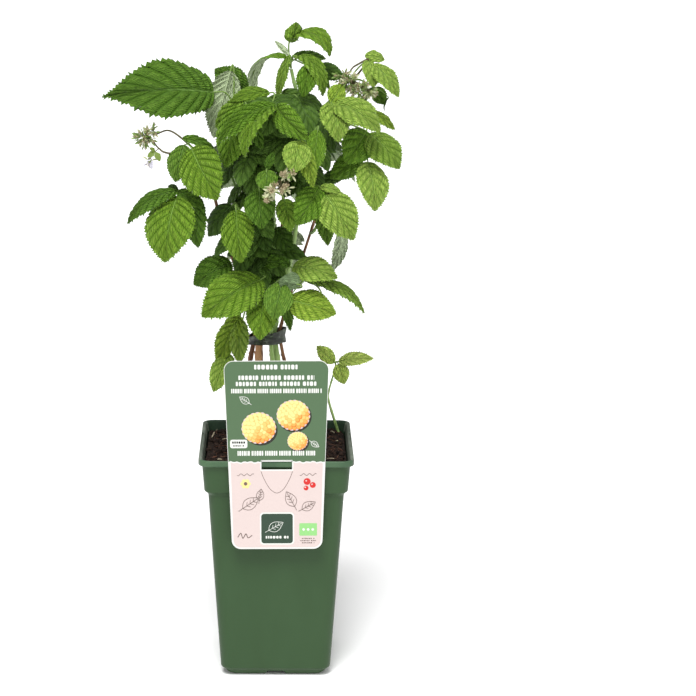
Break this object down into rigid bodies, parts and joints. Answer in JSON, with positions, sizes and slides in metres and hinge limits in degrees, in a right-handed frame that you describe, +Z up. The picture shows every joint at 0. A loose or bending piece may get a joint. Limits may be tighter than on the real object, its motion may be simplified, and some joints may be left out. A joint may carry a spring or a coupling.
{
  "type": "raspberry cane in a pot",
  "caption": "Bushy raspberry plant with tied canes, three-part leaves, buds and a hanging label, in a tall square tapered pot.",
  "frame": {"origin": "centre of the pot's flat underside, on the ground plane", "axes": "+Z up along the pot and canes; -Y towards the hanging label; +X to the right seen from the label side"},
  "size_m": [0.2818, 0.2106, 0.641],
  "materials": {
    "pot_plastic": "moulded polypropylene, fine satin grain",
    "potting_soil": "crumbly moist peat and bark fibre",
    "label_card": "printed plastic card, satin",
    "tie_band": "soft dark grey-green band, creased",
    "cane_green": "smooth young green bark with fine hairs",
    "cane_tan": "ripe tan bark, peeling lengthways",
    "cane_brown": "thin brown bark",
    "leaf_light": "pleated, hairy, satin green leaf",
    "leaf_mid": "pleated, hairy, mid green leaf",
    "leaf_fresh": "young yellow-green leaf",
    "leaf_dark": "shaded dark green leaf"
  },
  "bodies": {
    "root": {"pot": "pot_plastic", "soil": "potting_soil", "label": "label_card", "tie": "tie_band", "cane_leader": "cane_green", "cane_green": "cane_green", "cane_thick": "cane_tan", "cane_left": "cane_brown", "cane_thin": "cane_brown", "cane_right": "cane_brown", "cane_back": "cane_brown", "cane_sucker": "cane_green", "bough_left": "cane_green", "bough_left_inner": "cane_green", "bough_centre": "cane_green", "bough_centre_low": "cane_green", "bough_right_top": "cane_green", "bough_upper_right": "cane_green", "bough_right_low": "cane_green", "bough_low_left": "cane_green", "bough_low_front": "cane_green", "bough_low_right": "cane_green", "bough_inner": "cane_green", "bough_heart_low": "cane_green", "bough_back_left": "cane_green", "bough_back_right": "cane_green", "bough_back": "cane_green", "bough_back_low_left": "cane_green", "bough_back_low_right": "cane_green", "leaves_leader_top": "leaf_light", "leaves_upper_left": "leaf_mid", "leaves_left_flower": "leaf_light", "leaves_left": "leaf_light", "leaves_left_inner": "leaf_mid", "leaves_front_upper": "leaf_light", "leaves_centre": "leaf_fresh", "leaves_centre_low": "leaf_light", "leaves_right_top": "leaf_fresh", "leaves_upper_right": "leaf_fresh", "leaves_right": "leaf_light", "leaves_right_low": "leaf_fresh", "leaves_low_left": "leaf_light", "leaves_low_front": "leaf_light", "leaves_low_right": "leaf_light", "leaves_sucker": "leaf_light", "leaves_inner": "leaf_dark", "leaves_heart": "leaf_dark", "leaves_heart_low": "leaf_dark", "leaves_back_top": "leaf_mid", "leaves_back_left": "leaf_mid", "leaves_back_right": "leaf_mid", "leaves_back": "leaf_mid", "leaves_back_low_left": "leaf_mid", "leaves_back_low_right": "leaf_mid"}
  },
  "joints": []
}
